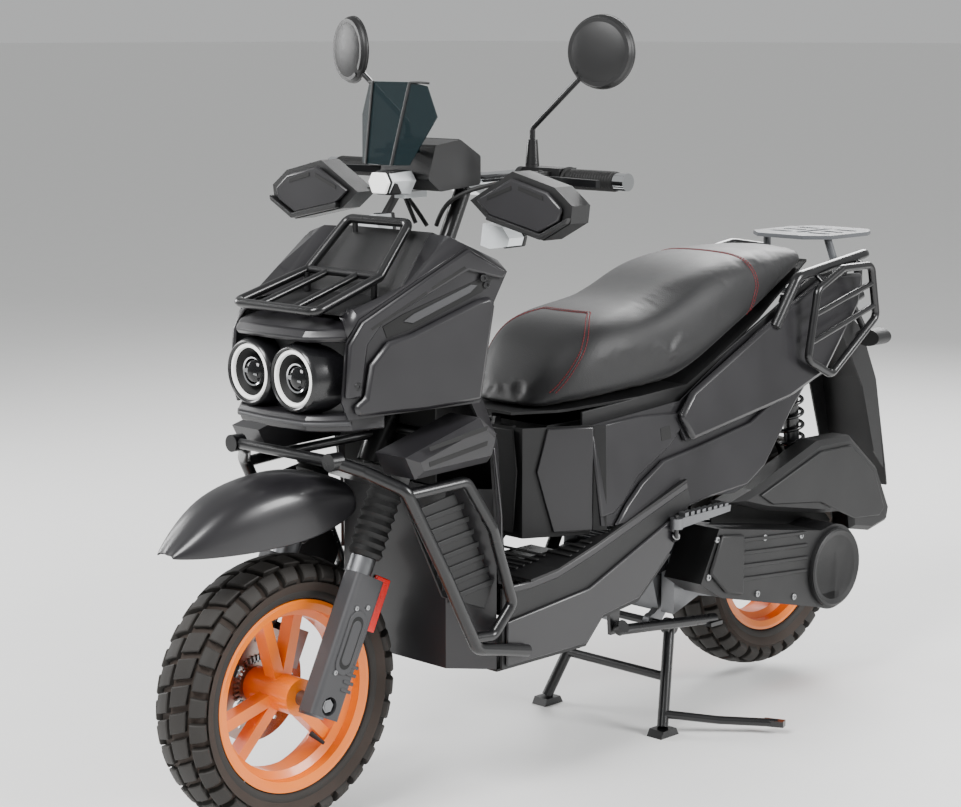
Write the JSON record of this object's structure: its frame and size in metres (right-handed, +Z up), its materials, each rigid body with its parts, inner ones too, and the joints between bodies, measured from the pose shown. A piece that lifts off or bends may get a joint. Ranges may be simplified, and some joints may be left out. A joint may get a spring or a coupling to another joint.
{
  "type": "moped scooter",
  "caption": "Step-through moped scooter with twin round headlights, orange wheels, racks, crash bars, telescopic fork, engine and swing unit, and fold-down stands.",
  "frame": {"origin": "floor level under the centre of the overall plan box, with the centre stand down", "axes": "-Y towards the front of travel, +X towards the rider's left hand, +Z up"},
  "size_m": [0.75, 1.9305, 1.3715],
  "materials": {
    "aluminium": "cast",
    "black_paint": "gloss black enamel",
    "body_plastic": "semi-gloss dark grey",
    "chrome": "bright",
    "grey_paint": "silver grey",
    "lens": "clear",
    "mirror": "gloss shell with a mirror glass",
    "orange_paint": "gloss orange",
    "rubber": "moulded rubber",
    "screen": "smoked teal",
    "slider_grey": "mid grey",
    "spring_paint": "black spring enamel",
    "steel": "brushed",
    "trim_plastic": "moulded matt black",
    "tyre": "block tread rubber",
    "vinyl": "dark grained vinyl"
  },
  "bodies": {
    "chassis": {"main_frame": "black_paint", "fuel_tank": "steel", "nose_cowl": "body_plastic", "headlights": "lens", "side_panels": "body_plastic", "front_tray": "trim_plastic", "front_rails": "black_paint", "leg_shield": "body_plastic", "storage_pods": "body_plastic", "floor_panels": "trim_plastic", "seat_pedestal": "trim_plastic", "rear_panels": "body_plastic", "storage_bin": "trim_plastic", "tail_rack": "grey_paint", "rear_rails": "black_paint", "rear_lamps": "body_plastic", "rear_fender": "trim_plastic"},
    "steering": {"fork_yoke": "black_paint", "fork_bellows": "rubber", "front_fender": "body_plastic", "handlebar": "chrome", "left_grip": "rubber", "switch_housings": "trim_plastic", "hand_guards": "body_plastic", "front_signals": "lens", "dash": "body_plastic", "windscreen": "screen"},
    "fork_lowers": {"fork_sliders": "aluminium", "slider_covers": "slider_grey", "brake_caliper": "aluminium"},
    "front_wheel": {"front_rim": "orange_paint", "front_tyre": "tyre", "brake_disc": "steel"},
    "throttle": {"throttle_grip": "rubber"},
    "lever_left": {"brake_lever_left": "black_paint"},
    "lever_right": {"brake_lever_right": "black_paint"},
    "horn": {"horn_button": "trim_plastic"},
    "starter": {"starter_button": "trim_plastic"},
    "signal_switch": {"signal_slider": "trim_plastic"},
    "stem_left": {"mirror_stem_left": "black_paint"},
    "stem_right": {"mirror_stem_right": "black_paint"},
    "mirror_left": {"mirror_head_left": "mirror"},
    "mirror_right": {"mirror_head_right": "mirror"},
    "seat": {"seat_base": "trim_plastic", "seat_cushion": "vinyl"},
    "rear_unit": {"engine_case": "aluminium", "cvt_cover": "trim_plastic", "airbox": "trim_plastic", "exhaust": "black_paint"},
    "drive": {"drive_pulley": "steel"},
    "clutch": {"clutch_pulley": "steel"},
    "rear_wheel": {"rear_rim": "orange_paint", "rear_tyre": "tyre"},
    "shock_upper": {"shock_body": "black_paint", "shock_spring": "spring_paint"},
    "shock_lower": {"shock_rod": "chrome"},
    "centre_stand": {"centre_stand": "black_paint"},
    "side_stand": {"side_stand": "black_paint"},
    "peg_left": {"passenger_peg_left": "aluminium"},
    "peg_right": {"passenger_peg_right": "aluminium"}
  },
  "joints": [
    {"name": "steering", "type": "hinge", "parent": "chassis", "child": "steering", "pos_m": [0, -0.47466, 0.66924], "axis": [0, 0.4384, 0.8988], "range_deg": [-36, 36]},
    {"name": "fork_slide", "type": "slide", "parent": "steering", "child": "fork_lowers", "axis": [0, 0.4384, 0.8988], "range_m": [0, 0.06], "stiffness_N_per_m": 9000, "springref_m": -0.04, "deforming": ["fork_bellows"]},
    {"name": "front_wheel_spin", "type": "hinge", "parent": "fork_lowers", "child": "front_wheel", "pos_m": [0, -0.728, 0.2365], "axis": [1, 0, 0], "continuous": true},
    {"name": "rear_swing", "type": "hinge", "parent": "chassis", "child": "rear_unit", "pos_m": [0, 0.152, 0.33], "axis": [1, 0, 0], "range_deg": [0, 9], "stiffness_Nm_per_rad": 2166, "springref_deg": -5.73},
    {"name": "rear_wheel_spin", "type": "hinge", "parent": "rear_unit", "child": "rear_wheel", "pos_m": [0, 0.58, 0.269], "axis": [1, 0, 0], "continuous": true},
    {"name": "drive_pulley_spin", "type": "hinge", "parent": "rear_unit", "child": "drive", "pos_m": [0.15, 0.257, 0.318], "axis": [1, 0, 0], "continuous": true},
    {"name": "clutch_pulley_spin", "type": "hinge", "parent": "rear_unit", "child": "clutch", "pos_m": [0.15, 0.583, 0.262], "axis": [1, 0, 0], "continuous": true},
    {"name": "shock_pivot", "type": "hinge", "parent": "chassis", "child": "shock_upper", "pos_m": [0.098, 0.562, 0.69], "axis": [1, 0, 0], "range_deg": [-0.68, 0.3]},
    {"name": "shock_slide", "type": "slide", "parent": "shock_upper", "child": "shock_lower", "axis": [0, 0.0826, -0.9966], "range_m": [-0.0708, 0.001], "deforming": ["shock_spring"]},
    {"name": "centre_stand_fold", "type": "hinge", "parent": "rear_unit", "child": "centre_stand", "pos_m": [0, 0.182, 0.195], "axis": [1, 0, 0], "range_deg": [0, 80]},
    {"name": "side_stand_fold", "type": "hinge", "parent": "chassis", "child": "side_stand", "pos_m": [0.143, -0.013, 0.233], "axis": [0.8486, 0, 0.5291], "range_deg": [-105, 0]},
    {"name": "peg_left_fold", "type": "hinge", "parent": "chassis", "child": "peg_left", "pos_m": [0.217, 0.064, 0.435], "axis": [0, 0, 1], "range_deg": [-85, 0]},
    {"name": "peg_right_fold", "type": "hinge", "parent": "chassis", "child": "peg_right", "pos_m": [-0.217, 0.064, 0.435], "axis": [0, 0, 1], "range_deg": [0, 85]},
    {"name": "seat_hinge", "type": "hinge", "parent": "chassis", "child": "seat", "pos_m": [0, -0.22, 0.648], "axis": [1, 0, 0], "range_deg": [0, 38]},
    {"name": "throttle_twist", "type": "hinge", "parent": "steering", "child": "throttle", "pos_m": [-0.29, -0.262, 1.094], "axis": [-1, 0, 0], "range_deg": [0, 80], "stiffness_Nm_per_rad": 0.25, "springref_deg": -22.92},
    {"name": "lever_left_pull", "type": "hinge", "parent": "steering", "child": "lever_left", "pos_m": [0.2, -0.295, 1.094], "axis": [0, 0, 1], "range_deg": [0, 12], "stiffness_Nm_per_rad": 6, "springref_deg": -5.73},
    {"name": "lever_right_pull", "type": "hinge", "parent": "steering", "child": "lever_right", "pos_m": [-0.2, -0.295, 1.094], "axis": [0, 0, -1], "range_deg": [0, 12], "stiffness_Nm_per_rad": 6, "springref_deg": -5.73},
    {"name": "horn_press", "type": "slide", "parent": "steering", "child": "horn", "axis": [0, -1, 0], "range_m": [0, 0.002], "stiffness_N_per_m": 800, "springref_m": -0.001},
    {"name": "starter_press", "type": "slide", "parent": "steering", "child": "starter", "axis": [0, -1, 0], "range_m": [0, 0.002], "stiffness_N_per_m": 800, "springref_m": -0.001},
    {"name": "signal_slide", "type": "slide", "parent": "steering", "child": "signal_switch", "axis": [1, 0, 0], "range_m": [-0.004, 0.004]},
    {"name": "mirror_stem_left_turn", "type": "hinge", "parent": "steering", "child": "stem_left", "pos_m": [0.156, -0.268, 1.116], "axis": [0, 0, 1], "range_deg": [-30, 30]},
    {"name": "mirror_head_left_tilt", "type": "hinge", "parent": "stem_left", "child": "mirror_left", "pos_m": [0.284, -0.273, 1.282], "axis": [1, 0, 0], "range_deg": [-12, 12]},
    {"name": "mirror_stem_right_turn", "type": "hinge", "parent": "steering", "child": "stem_right", "pos_m": [-0.156, -0.268, 1.116], "axis": [0, 0, 1], "range_deg": [-30, 30]},
    {"name": "mirror_head_right_tilt", "type": "hinge", "parent": "stem_right", "child": "mirror_right", "pos_m": [-0.284, -0.273, 1.282], "axis": [1, 0, 0], "range_deg": [-12, 12]}
  ],
  "couplings": [
    {"joint": "shock_pivot", "follows": "rear_swing", "ratio": -0.041897},
    {"joint": "shock_slide", "follows": "rear_swing", "m_per_rad": -0.43803},
    {"joint": "clutch_pulley_spin", "follows": "drive_pulley_spin", "ratio": 0.76667}
  ]
}
